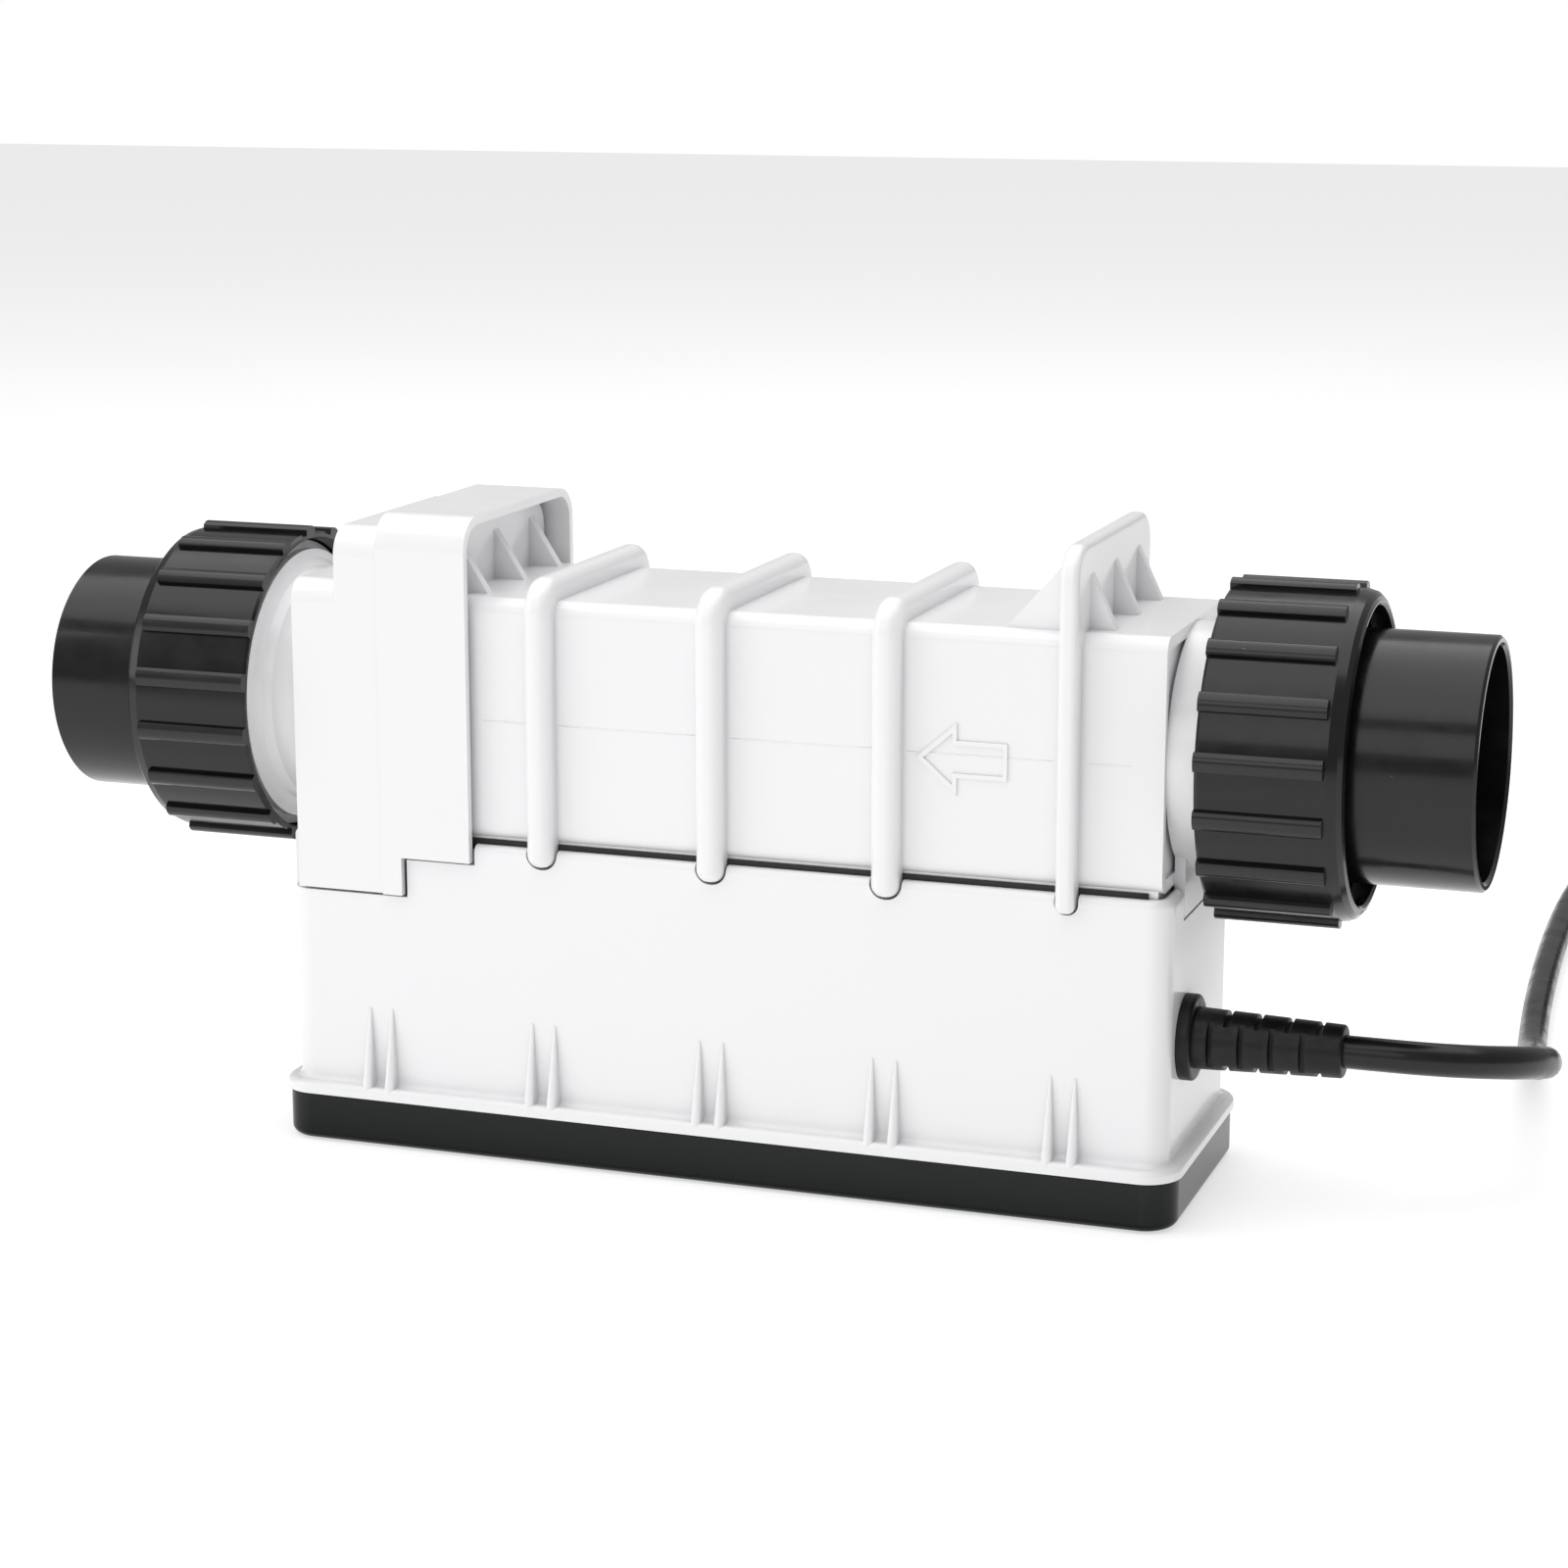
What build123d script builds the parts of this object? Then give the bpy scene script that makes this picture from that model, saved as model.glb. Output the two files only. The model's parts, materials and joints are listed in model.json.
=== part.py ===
"""Salt chlorinator cell: a ribbed flow tube between two union connections, standing on its control box.

X runs along the flow tube, +Y is the back, +Z is up. The origin is the centre of the
base, on the surface that the cell stands on. All sizes are in millimetres.
"""
from build123d import *
import math
import os

os.makedirs("parts", exist_ok=True)

# ---- flow tube and pipe sizes ----
flow_z = 121.7  # height of the flow axis
pipe_r = 30.25  # socket bore for 2 inch pipe
socket_depth = 38
passage_r = 27  # water passage through necks and tailpieces
cell_length = 243.2
cell_width = 67
cell_height = 66.5
cell_wall = 4
cell_edge = 4
cell_top = flow_z + cell_height / 2
cell_floor = flow_z - cell_height / 2
cell_end = cell_length / 2

# ---- ribs on the flow tube ----
rib_pitch = 48.6
rib_width = 7.5
rib_proud_side = 5.6
rib_proud_top = 6.3
rib_tip_z = 82.8
inlet_collar_x = 2 * rib_pitch
outlet_collar_x = -78.6  # under the saddle cover
collar_thick = 5
inlet_collar_top = 177.4
outlet_collar_top = 173.6
gusset_y = 24.5
gusset_thick = 3

# ---- union connection ----
neck_r = 32.5
shoulder_r = 38
thread_r = 40.3
neck_end = 154
nut_length = 37.3
inlet_nut_start = 131
outlet_nut_start = 133  # this nut is screwed on a little less far
nut_r = 43
nut_rib_r = 45
nut_rib_count = 18
nut_rib_width = 5
nut_bore_r = 40.8
nut_face_hole_r = 38.8
nut_lip = 6
nut_rib_stop = 4.8
tail_r = 32.9
tail_end = 199.3
tail_flange_r = 40.2
tail_flange_thick = 7
tail_face = neck_end + 0.4
o_ring_r = 33.5
o_ring_section_r = 1.7

# ---- control box ----
box_length = 249
box_width = 72
box_corner = 6
box_wall = 2.6
box_top = 87.4
fin_height = 22
fin_gap = 6.6
fin_foot_width = 2.9
fin_proud = 4.6
notch_gap = 0.7  # between a rib's tip and the notch that it sits in
lip_bottom = 13.6
lip_top = 16.8
lip_length = 256.3
lip_width = 81.4
lip_corner = 10
box_end = box_length / 2
box_side = box_width / 2
inner_side = box_side - box_wall
inner_end = box_end - box_wall

# ---- display cover, the base that the cell stands on ----
base_length = 254.6
base_width = 79.6
base_corner = 9.3
base_floor = 3
base_wall = 2.8
seam_gap = 0.5
button_x = 34
button_r = 6.5
button_travel = 0.8

# ---- saddle cover over the outlet end ----
saddle_wall = 2.3
saddle_left = -121
block_x = -108
band_x = -95
panel_step_x = -89.3
saddle_right = -69
band_half_width = 37.8
block_half_width = 36.6
band_top = 176.3
block_top = 172.4
low_top = 157.6
panel_bottom = 72
band_bottom = 82.6

# ---- flow switch, electrode studs and temperature probe in the tube's floor ----
switch_x = -88
switch_r = 8.95
paddle_pin_z = 100
paddle_pin_r = 1.5
anode_stud_x = 96
cathode_stud_x = -66
stud_r = 3
stud_seal_r = 4.2
probe_x = 108
probe_y = 12
probe_r = 3.95

# ---- cable ----
cord_r = 4.35
cord_y = -16
cord_z = 47
boot_end = 166.7
coil_x = 275  # centre of the coil that holds the cable's spare length
coil_y = 360
coil_mean_r = 52
coil_layers = 4
coil_layer_turns = 2.92  # turns that spiral in or out in one layer
coil_step_turns = 0.17  # part of a turn that climbs to the next layer
coil_floor = 1
cord_points = [
    (boot_end, cord_y, cord_z),
    (178, -16, 47),
    (188.8, -13, 46.2),
    (198.3, -6.9, 44.8),
    (205.8, 1.5, 42.9),
    (210.8, 11.7, 40.5),
    (212.8, 22.8, 37.6),
    (211.6, 34.1, 34.2),
    (208, 56, 27.3),
    (204, 80, 19.6),
    (200, 104, 12.2),
    (196.3, 128, 7),
    (193.3, 154, 4.6),
    (190, 187, 4.4),
    (186.8, 230, 4.4),
    (184.3, 275, 4.4),
    (183, 320, 4.4),
    (183.5, 360, 4.4),
    (193.9, 381.7, 4.8),
    (208.7, 398.3, 5.2),
    (224.6, 408.6, 5.4),
    (242.4, 416.5, 5.4),
]
tail_points = [
    (302.7, 413, 32.5),
    (314.8, 401.7, 33.5),
    (323, 386.9, 38),
    (327, 370.2, 44),
    (326.1, 353.7, 48),
    (322, 338.8, 48),
]


def save(piece, name):
    """Label a finished part and write it as its own STEP file."""
    piece.part.label = name
    export_step(piece.part, f"parts/{name}.step")


def flow_plane(x):
    """A plane across the flow axis at x, with its own x along +Y and its own y up."""
    return Plane(origin=(x, 0, flow_z), x_dir=(0, 1, 0), z_dir=(1, 0, 0))


def profile_plane():
    """The plane that revolved flow parts are drawn in: x along the flow, y the radius."""
    return Plane(origin=(0, 0, flow_z), x_dir=(1, 0, 0), z_dir=(0, -1, 0))


flow_axis = Axis((0, 0, flow_z), (1, 0, 0))


def revolved(points):
    """A ring turned about the flow axis from its (x, radius) outline."""
    with BuildPart() as ring:
        with BuildSketch(profile_plane()):
            with BuildLine():
                Polyline(*points, close=True)
            make_face()
        revolve(axis=flow_axis)
    return ring.part


def arch(x_from, x_to, half_width, top, bottom, corner):
    """A block along X whose two top edges are rounded, as a private solid."""
    plane = Plane(origin=(x_from, 0, 0), x_dir=(0, 1, 0), z_dir=(1, 0, 0))
    with BuildPart() as block:
        with BuildSketch(plane):
            with Locations((0, (top + bottom) / 2)):
                Rectangle(2 * half_width, top - bottom)
            fillet([v for v in vertices() if abs(v.Y - top) < 0.01], radius=corner)
        extrude(amount=x_to - x_from)
    return block.part


def rib(x, thick, half_width, top, edge):
    """An inverted U over the flow tube with rounded outer edges and rounded tips."""
    plane = Plane(origin=(x - thick / 2, 0, 0), x_dir=(0, 1, 0), z_dir=(1, 0, 0))
    with BuildPart() as band:
        with BuildSketch(plane):
            with Locations((0, (top + rib_tip_z) / 2)):
                Rectangle(2 * half_width, top - rib_tip_z)
            fillet([v for v in vertices() if abs(v.Y - top) < 0.01], radius=9)
            fillet([v for v in vertices() if abs(v.Y - rib_tip_z) < 0.01], radius=edge + 0.3)
        extrude(amount=thick)
        rims = [e for e in edges() if abs(abs(e.center().X - x) - thick / 2) < 0.01]
        fillet(rims, radius=edge)
        with Locations((x, 0, (cell_floor + rib_tip_z) / 2 - 2)):
            Box(thick + 2, cell_width - 2, cell_floor - rib_tip_z + 8, mode=Mode.SUBTRACT)
    return band.part


def gusset(x, length, height, y):
    """A triangular web standing on the tube's top, against a collar plate at x."""
    plane = Plane(origin=(0, y, cell_top - 1), x_dir=(1, 0, 0), z_dir=(0, -1, 0))
    with BuildPart() as web:
        with BuildSketch(plane):
            with BuildLine():
                Polyline((x, 0), (x + length, 0), (x + length, 1), (x, height), close=True)
            make_face()
        extrude(amount=gusset_thick / 2, both=True)
    return web.part


# ================= flow tube =================
with BuildPart() as cell_housing:
    with BuildSketch(flow_plane(-cell_end)):
        RectangleRounded(cell_width, cell_height, cell_edge)
    extrude(amount=cell_length)
    # pedestal that drops into the control box
    with Locations((0, 0, (cell_floor + 81) / 2)):
        Box(2 * inner_end - 3, 2 * inner_side - 2, cell_floor - 81 + 2)
    rib_half_width = cell_width / 2 + rib_proud_side
    for rib_x in (-rib_pitch, 0, rib_pitch):
        add(rib(rib_x, rib_width, rib_half_width, cell_top + rib_proud_top, 3.3))
    add(rib(inlet_collar_x, collar_thick, rib_half_width, inlet_collar_top, 1.8))
    add(rib(outlet_collar_x, collar_thick, cell_width / 2 + 0.8, outlet_collar_top, 0.8))
    inlet_face = inlet_collar_x + collar_thick / 2 - 0.5
    outlet_face = outlet_collar_x + collar_thick / 2 - 0.5
    for row in (-1, 0, 1):
        add(gusset(inlet_face, 7.3, 16.5, row * gusset_y))
        add(gusset(inlet_face - collar_thick + 1, -16.5, 20, row * 28))
        add(gusset(outlet_face, 9.3, 15.5, row * gusset_y))
    # raised outline of the flow arrow, pointing to the outlet
    arrow_plane = Plane(origin=(0, -cell_width / 2 + 0.5, flow_z), x_dir=(1, 0, 0), z_dir=(0, -1, 0))
    with BuildSketch(arrow_plane):
        with BuildLine():
            Polyline((56, -1.3), (67, 8.3), (67, 3.6), (80.5, 3.6), (80.5, -6.2), (67, -6.2), (67, -10.9), close=True)
        make_face()
        with BuildLine():
            Polyline((58, -1.3), (65.8, 5.5), (65.8, 2.4), (79.3, 2.4), (79.3, -5), (65.8, -5), (65.8, -8.1), close=True)
        make_face(mode=Mode.SUBTRACT)
    extrude(amount=1)
    # water space, and a wider seat for the cap at each end
    with BuildSketch(flow_plane(-cell_end)):
        RectangleRounded(cell_width - 2 * cell_wall, cell_height - 2 * cell_wall, 3)
    extrude(amount=cell_length, mode=Mode.SUBTRACT)
    for seat_x in (-cell_end, cell_end - 8):
        with BuildSketch(flow_plane(seat_x)):
            RectangleRounded(62, 60, 3)
        extrude(amount=8, mode=Mode.SUBTRACT)
    # hollow underside of the pedestal
    for hollow_from, hollow_to in ((-117, -73), (-58, 2), (10, 80)):
        with Locations(((hollow_from + hollow_to) / 2, 0, 81)):
            Box(hollow_to - hollow_from, 56, 8, mode=Mode.SUBTRACT)
    # openings in the floor for the electrode studs, the temperature probe and the flow switch
    for opening_x, opening_y, opening_r in (
        (cathode_stud_x, 0, stud_seal_r),
        (anode_stud_x, 0, stud_seal_r),
        (probe_x, probe_y, probe_r + 0.05),
        (switch_x, 0, switch_r + 0.05),
    ):
        with Locations((opening_x, opening_y, cell_floor)):
            Cylinder(opening_r, 30, mode=Mode.SUBTRACT)
save(cell_housing, "cell_housing")


def end_cap(side):
    """Cap with the threaded neck of one union; side is +1 at the inlet and -1 at the outlet."""
    neck = revolved([
        (side * (cell_end - 8), passage_r),
        (side * (cell_end - 8), 29.8),
        (side * cell_end, 29.8),
        (side * cell_end, neck_r),
        (side * 130, neck_r),
        (side * 132.6, 33.6),
        (side * 134.2, 35.6),
        (side * 134.7, shoulder_r),
        (side * 137, shoulder_r),
        (side * 138, thread_r),
        (side * neck_end, thread_r),
        (side * neck_end, o_ring_r + 2),
        (side * (neck_end - 3), o_ring_r + 2),
        (side * (neck_end - 3), o_ring_r - 2),
        (side * neck_end, o_ring_r - 2),
        (side * neck_end, passage_r),
    ])
    groove_starts = [140.5 + 3.6 * i for i in range(3)]
    with BuildPart() as cap:
        add(neck)
        for start in groove_starts:
            add(
                revolved([
                    (side * start, thread_r + 1),
                    (side * start, thread_r - 0.2),
                    (side * (start + 0.7), thread_r - 1.4),
                    (side * (start + 1.3), thread_r - 1.4),
                    (side * (start + 2), thread_r - 0.2),
                    (side * (start + 2), thread_r + 1),
                ]),
                mode=Mode.SUBTRACT,
            )
        # plate that closes the tube's end
        with BuildSketch(flow_plane(min(side * (cell_end - 0.8), side * (cell_end - 8)))):
            RectangleRounded(62, 60, 3)
            Circle(passage_r, mode=Mode.SUBTRACT)
        extrude(amount=7.2)
        # tongue that reaches down into the end wall of the control box
        with BuildSketch(flow_plane(min(side * cell_end, side * (box_end - 0.1)))):
            with Locations((0, -(flow_z - 79.6) / 2)):
                Rectangle(39, flow_z - 79.6)
            Circle(neck_r - 1, mode=Mode.SUBTRACT)
        extrude(amount=box_end - 0.1 - cell_end)
    return cap


inlet_end_cap = end_cap(1)
save(inlet_end_cap, "inlet_end_cap")
outlet_end_cap = end_cap(-1)
save(outlet_end_cap, "outlet_end_cap")


def union_nut(side, start, first_rib):
    """Ribbed union nut, open towards the cell, with a lip that holds the tailpiece."""
    end = start + nut_length
    body = revolved([
        (side * start, 41.4),
        (side * start, 42.4),
        (side * (start + 0.8), nut_r),
        (side * (end - 4), nut_r),
        (side * (end - 1.6), nut_r - 0.7),
        (side * (end - 0.4), nut_r - 2),
        (side * end, nut_r - 3.2),
        (side * end, nut_face_hole_r + 0.6),
        (side * (end - 0.6), nut_face_hole_r),
        (side * (end - nut_lip), nut_face_hole_r),
        (side * (end - nut_lip), nut_bore_r + 0.4),
        (side * (neck_end + 1), nut_bore_r + 0.4),
        (side * neck_end, nut_bore_r),
        (side * (start + 4), nut_bore_r),
    ])
    rib_from, rib_to = sorted((side * start, side * (end - nut_rib_stop)))
    half = nut_rib_width / 2
    proud = nut_rib_r - nut_r
    with BuildPart() as nut:
        add(body)
        for i in range(nut_rib_count):
            turn = math.radians(first_rib + i * 360 / nut_rib_count)
            out = Vector(0, -math.cos(turn), math.sin(turn))
            rib_plane = Plane(
                origin=Vector(rib_from, 0, flow_z) + out * nut_r,
                x_dir=out.cross(Vector(1, 0, 0)),
                z_dir=(1, 0, 0),
            )
            rib_out = 1 if rib_plane.y_dir.dot(out) > 0 else -1
            with BuildSketch(rib_plane):
                with BuildLine():
                    Polyline((-half, rib_out * (proud - 1)), (-half, -0.7 * rib_out), (half, -0.7 * rib_out))
                    Line((half, -0.7 * rib_out), (half, rib_out * (proud - 1)))
                    ThreePointArc(
                        (half, rib_out * (proud - 1)), (0, rib_out * proud), (-half, rib_out * (proud - 1))
                    )
                make_face()
            extrude(amount=rib_to - rib_from)
    return nut


inlet_union_nut = union_nut(1, inlet_nut_start, 6)
save(inlet_union_nut, "inlet_union_nut")
outlet_union_nut = union_nut(-1, outlet_nut_start, 10)
save(outlet_union_nut, "outlet_union_nut")


def tailpiece(side):
    """Flanged socket for the pipe, held against the neck by the union nut."""
    with BuildPart() as tail:
        add(
            revolved([
                (side * tail_face, passage_r),
                (side * tail_face, tail_flange_r - 0.6),
                (side * (tail_face + 0.6), tail_flange_r),
                (side * (tail_face + tail_flange_thick), tail_flange_r),
                (side * (tail_face + tail_flange_thick), tail_r + 2.2),
                (side * (tail_face + tail_flange_thick + 0.7), tail_r + 0.7),
                (side * (tail_face + tail_flange_thick + 2.2), tail_r),
                (side * (tail_end - 0.8), tail_r),
                (side * tail_end, tail_r - 0.8),
                (side * tail_end, pipe_r + 0.8),
                (side * (tail_end - 0.8), pipe_r),
                (side * (tail_end - socket_depth), pipe_r),
                (side * (tail_end - socket_depth), passage_r),
            ])
        )
    return tail


def seal_ring(side):
    """O-ring in the face of a neck, pressed by the tailpiece."""
    with BuildPart() as ring:
        centre_x = side * (neck_end - 3 + o_ring_section_r)
        with BuildSketch(profile_plane()):
            with Locations((centre_x, o_ring_r)):
                Circle(o_ring_section_r)
        revolve(axis=flow_axis)
    return ring


inlet_tailpiece = tailpiece(1)
save(inlet_tailpiece, "inlet_tailpiece")
outlet_tailpiece = tailpiece(-1)
save(outlet_tailpiece, "outlet_tailpiece")
inlet_o_ring = seal_ring(1)
save(inlet_o_ring, "inlet_o_ring")
outlet_o_ring = seal_ring(-1)
save(outlet_o_ring, "outlet_o_ring")


# ================= control box =================
ribs_in_notches = [(rib_x, rib_width + 2 * notch_gap) for rib_x in (-rib_pitch, 0, rib_pitch)]
ribs_in_notches.append((inlet_collar_x, collar_thick + 2 * notch_gap))
with BuildPart() as electronics_housing:
    with BuildSketch(Plane.XY.offset(lip_bottom)):
        RectangleRounded(lip_length, lip_width, lip_corner)
    extrude(amount=lip_top - lip_bottom)
    fillet(faces().sort_by(Axis.Z)[-1].edges(), radius=1.6)
    with BuildSketch(Plane.XY.offset(lip_bottom)):
        RectangleRounded(box_length, box_width, box_corner)
    extrude(amount=box_top - lip_bottom)
    foot_edges = [
        e
        for e in edges()
        if abs(e.center().Z - lip_top) < 0.01 and max(abs(v.Y) for v in e.vertices()) < box_side + 0.1
        and max(abs(v.X) for v in e.vertices()) < box_end + 0.1
    ]
    fillet(foot_edges, radius=1.6)
    fillet(faces().sort_by(Axis.Z)[-1].edges(), radius=2)
    # paired fins standing on the lip, wide at the foot and pointed at the top
    for side in (-1, 1):
        for pair in range(-2, 3):
            for offset_x in (-fin_gap / 2, fin_gap / 2):
                fin_place = (pair * rib_pitch + offset_x, side * (box_side - 1))
                with BuildSketch(Plane.XY.offset(lip_top - 1)):
                    with Locations(fin_place):
                        RectangleRounded(fin_foot_width, 2 * (fin_proud + 1), fin_foot_width / 2 - 0.1)
                with BuildSketch(Plane.XY.offset(lip_top + fin_height)):
                    with Locations(fin_place):
                        RectangleRounded(0.8, 2.6, 0.35)
                loft()
    # inside of the box
    with BuildSketch(Plane.XY.offset(lip_bottom)):
        RectangleRounded(2 * inner_end, 2 * inner_side, box_corner - box_wall)
    extrude(amount=box_top, mode=Mode.SUBTRACT)
    # screw bosses and the posts that carry the control board
    for boss_x in (-117, 0, 117):
        for boss_y in (-29, 29):
            with BuildSketch(Plane.XY.offset(lip_bottom)):
                with Locations((boss_x, boss_y)):
                    Circle(5)
            extrude(amount=24)
    for post_x in (-80, 80):
        for post_y in (-31, 31):
            with Locations((post_x, post_y, 40)):
                Box(6, 6, 40)
    for boss_x in (-117, 0, 117):
        for boss_y in (-29, 29):
            with BuildSketch(Plane.XY.offset(lip_bottom)):
                with Locations((boss_x, boss_y)):
                    Circle(1.5)
            extrude(amount=16, mode=Mode.SUBTRACT)
    # slots in both end walls for the tongues of the end caps
    with Locations((-box_end, 0, 79 + 10), (box_end, 0, 79 + 10)):
        Box(12, 40.6, 20, mode=Mode.SUBTRACT)
    # notches for the rib tips
    for side in (-1, 1):
        for rib_x, notch_width in ribs_in_notches:
            notch_plane = Plane(origin=(rib_x, side * (box_side + 0.5), 0), x_dir=(1, 0, 0), z_dir=(0, -1, 0))
            with BuildSketch(notch_plane):
                with Locations((0, rib_tip_z - notch_gap + 10)):
                    RectangleRounded(notch_width, 20, notch_width / 2 - 0.2)
            extrude(amount=4, both=True, mode=Mode.SUBTRACT)
        # steps for the side panels of the flow switch cover
        with Locations(((-130 + panel_step_x + 0.8) / 2, side * box_side, panel_bottom - 0.8 + 20)):
            Box(130 + panel_step_x + 0.8, 8.4, 40, mode=Mode.SUBTRACT)
        with Locations(((panel_step_x + saddle_right + 0.8) / 2, side * box_side, band_bottom - 0.8 + 20)):
            Box(saddle_right - panel_step_x + 0.8, 8.4, 40, mode=Mode.SUBTRACT)
    # cable hole
    with Locations(Location((box_end, cord_y, cord_z), (0, 90, 0))):
        Cylinder(8.2, 20, mode=Mode.SUBTRACT)
save(electronics_housing, "electronics_housing")

# ================= display cover =================
with BuildPart() as display_cover:
    with BuildSketch(Plane.XY):
        RectangleRounded(base_length, base_width, base_corner)
    extrude(amount=lip_bottom - seam_gap, taper=0)
    fillet(faces().sort_by(Axis.Z)[0].edges(), radius=2.4)
    with BuildSketch(Plane.XY.offset(base_floor)):
        RectangleRounded(base_length - 2 * base_wall, base_width - 2 * base_wall, base_corner - base_wall)
    extrude(amount=lip_bottom, mode=Mode.SUBTRACT)
    # pillars that the screws pass through, countersunk from below
    for boss_x in (-117, 0, 117):
        for boss_y in (-29, 29):
            with BuildSketch(Plane.XY.offset(base_floor - 1)):
                with Locations((boss_x, boss_y)):
                    Circle(4.6)
            extrude(amount=lip_bottom - seam_gap - base_floor + 1)
    for boss_x in (-117, 0, 117):
        for boss_y in (-29, 29):
            with BuildSketch(Plane.XY):
                with Locations((boss_x, boss_y)):
                    Circle(1.8)
            extrude(amount=20, mode=Mode.SUBTRACT)
            with BuildSketch(Plane.XY):
                with Locations((boss_x, boss_y)):
                    Circle(3.2)
            extrude(amount=4, mode=Mode.SUBTRACT)
    # shallow panel on the underside, with the two button holes
    with BuildSketch(Plane.XY):
        RectangleRounded(150, 44, 5)
    extrude(amount=1.2, mode=Mode.SUBTRACT)
    with BuildSketch(Plane.XY):
        with Locations((-button_x, 0), (button_x, 0)):
            Circle(button_r + 0.4)
    extrude(amount=base_floor, mode=Mode.SUBTRACT)
save(display_cover, "display_cover")

with BuildPart() as cover_gasket:
    with BuildSketch(Plane.XY.offset(lip_bottom - seam_gap)):
        RectangleRounded(base_length - 0.4, base_width - 0.4, base_corner - 0.2)
        RectangleRounded(base_length - 5, base_width - 5, base_corner - 2.5, mode=Mode.SUBTRACT)
    extrude(amount=seam_gap)
save(cover_gasket, "cover_gasket")

with BuildPart() as cover_screws:
    for boss_x in (-117, 0, 117):
        for boss_y in (-29, 29):
            with BuildSketch(Plane.XY.offset(1)):
                with Locations((boss_x, boss_y)):
                    Circle(3)
                    RegularPolygon(1.4, 6, mode=Mode.SUBTRACT)
            extrude(amount=2)
            with BuildSketch(Plane.XY.offset(2.6)):
                with Locations((boss_x, boss_y)):
                    Circle(3)
            extrude(amount=1.4)
            with BuildSketch(Plane.XY.offset(4)):
                with Locations((boss_x, boss_y)):
                    Circle(1.45)
            extrude(amount=22)
save(cover_screws, "cover_screws")

# ================= buttons and display board =================
for name, at_x in (("button_more", button_x), ("button_less", -button_x)):
    with BuildPart() as button:
        with BuildSketch(Plane.XY.offset(0.7)):
            with Locations((at_x, 0)):
                Circle(button_r)
        extrude(amount=base_floor - 0.6)
        fillet(faces().sort_by(Axis.Z)[0].edges(), radius=0.5)
        with BuildSketch(Plane.XY.offset(base_floor + 0.1)):
            with Locations((at_x, 0)):
                Circle(button_r + 1.6)
        extrude(amount=1)
        with BuildSketch(Plane.XY.offset(base_floor + 1.1)):
            with Locations((at_x, 0)):
                Circle(1.6)
        extrude(amount=1.5)
    save(button, name)

board_z = 8.4
with BuildPart() as display_board:
    with BuildSketch(Plane.XY.offset(board_z)):
        RectangleRounded(170, 48, 3)
    extrude(amount=1.6)
save(display_board, "display_board")

with BuildPart() as board_spacers:
    for spacer_x in (-76, 76):
        for spacer_y in (-18, 18):
            with BuildSketch(Plane.XY.offset(base_floor)):
                with Locations((spacer_x, spacer_y)):
                    Circle(3)
            extrude(amount=board_z - base_floor)
save(board_spacers, "board_spacers")

with BuildPart() as indicator_lights:
    for light in range(7):
        for row_y in (-12, 12):
            with BuildSketch(Plane.XY.offset(board_z - 3.5)):
                with Locations(((light - 3) * 9, row_y)):
                    Circle(1.5)
            extrude(amount=3.5)
save(indicator_lights, "indicator_lights")

with BuildPart() as tact_switches:
    for switch_at in (-button_x, button_x):
        with BuildSketch(Plane.XY.offset(board_z - 1.8)):
            with Locations((switch_at, 0)):
                Rectangle(6, 6)
        extrude(amount=1.8)
save(tact_switches, "tact_switches")

# ================= control board =================
control_z = 60
with BuildPart() as control_board:
    with BuildSketch(Plane.XY.offset(control_z)):
        RectangleRounded(200, 58, 2)
    extrude(amount=1.6)
save(control_board, "control_board")

with BuildPart() as board_parts:
    for part_x, part_y, size_x, size_y, size_z in (
        (-60, 8, 34, 28, 14),
        (-18, -12, 22, 16, 12),
        (18, 12, 14, 14, 10),
        (52, -10, 18, 22, 9),
    ):
        with BuildSketch(Plane.XY.offset(control_z)):
            with Locations((part_x, part_y)):
                RectangleRounded(size_x, size_y, 1)
        extrude(amount=-size_z)
    for can_x in (-10, 4, 34):
        with BuildSketch(Plane.XY.offset(control_z)):
            with Locations((can_x, 18 if can_x < 10 else -18)):
                Circle(5)
        extrude(amount=-16)
save(board_parts, "board_parts")

with BuildPart() as heat_sink:
    with BuildSketch(Plane.XY.offset(control_z + 1.6)):
        with Locations((10, 0)):
            Rectangle(60, 36)
    extrude(amount=3)
    for fin in range(9):
        with BuildSketch(Plane.XY.offset(control_z + 4.6)):
            with Locations((10, (fin - 4) * 4)):
                Rectangle(60, 1.4)
        extrude(amount=9)
save(heat_sink, "heat_sink")

# ================= saddle cover =================
with BuildPart() as saddle_cover:
    add(arch(band_x, saddle_right, band_half_width, band_top, panel_bottom, 9))
    add(arch(block_x, band_x, block_half_width, block_top, panel_bottom, 8))
    add(arch(saddle_left, block_x, block_half_width, low_top, panel_bottom, 6))
    add(
        arch(band_x + saddle_wall, saddle_right, band_half_width - saddle_wall, band_top - saddle_wall, 60, 7),
        mode=Mode.SUBTRACT,
    )
    add(
        arch(block_x + saddle_wall, band_x + 3, block_half_width - saddle_wall, block_top - saddle_wall, 60, 6),
        mode=Mode.SUBTRACT,
    )
    add(
        arch(saddle_left - 1, block_x + 3, block_half_width - saddle_wall, low_top - saddle_wall, 60, 4),
        mode=Mode.SUBTRACT,
    )
    # lower edge of the band, above the long side panels
    with Locations(((panel_step_x + saddle_right) / 2 + 0.5, 0, band_bottom - 10)):
        Box(saddle_right - panel_step_x + 1, 90, 20, mode=Mode.SUBTRACT)
save(saddle_cover, "saddle_cover")

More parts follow.
